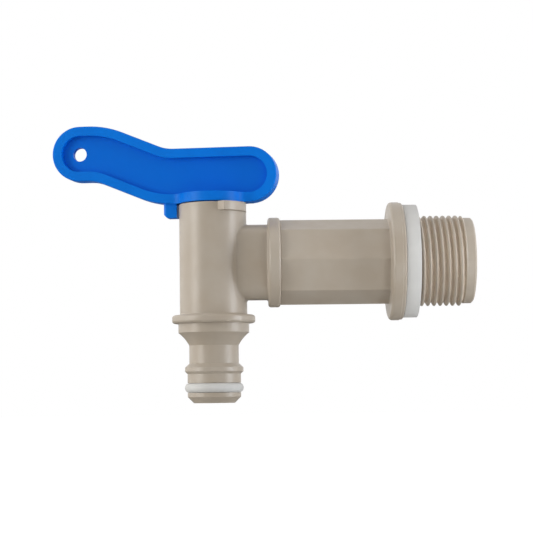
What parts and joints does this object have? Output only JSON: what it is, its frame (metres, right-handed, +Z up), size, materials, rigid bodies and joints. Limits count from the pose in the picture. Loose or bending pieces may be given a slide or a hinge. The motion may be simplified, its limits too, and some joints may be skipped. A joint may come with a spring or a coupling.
{
  "type": "water butt tap",
  "caption": "Plastic tap with an upright barrel and a lever on top, a side inlet tail with flange, washer and thread, and a push-on hose nozzle below.",
  "frame": {"origin": "on the inlet axis, in the washer's outer face, which bears on the wall of the butt", "axes": "+X runs along the threaded inlet into the butt, +Z is up along the barrel, and the front of the picture looks along +Y"},
  "size_m": [0.1228, 0.0344, 0.0818],
  "materials": {
    "beige_plastic": "injection-moulded polypropylene, warm grey-beige, satin",
    "blue_plastic": "injection-moulded polypropylene, strong blue, satin",
    "white_rubber": "soft white washer and sealing ring, matt",
    "black_rubber": "black nitrile seals inside the tap, matt"
  },
  "bodies": {
    "tap": {"tap_body": "beige_plastic", "inlet_tail": "beige_plastic", "flange_washer": "white_rubber", "saddle_seal": "black_rubber", "joint_ring": "black_rubber", "nozzle_ring": "white_rubber"},
    "handle": {"lever": "blue_plastic", "plug_ring_upper": "black_rubber", "plug_ring_lower": "black_rubber"}
  },
  "joints": [
    {"name": "lever_turn", "type": "hinge", "parent": "tap", "child": "handle", "pos_m": [-0.0593, 0, 0], "axis": [0, 0, 1], "range_deg": [-80, 100]}
  ]
}
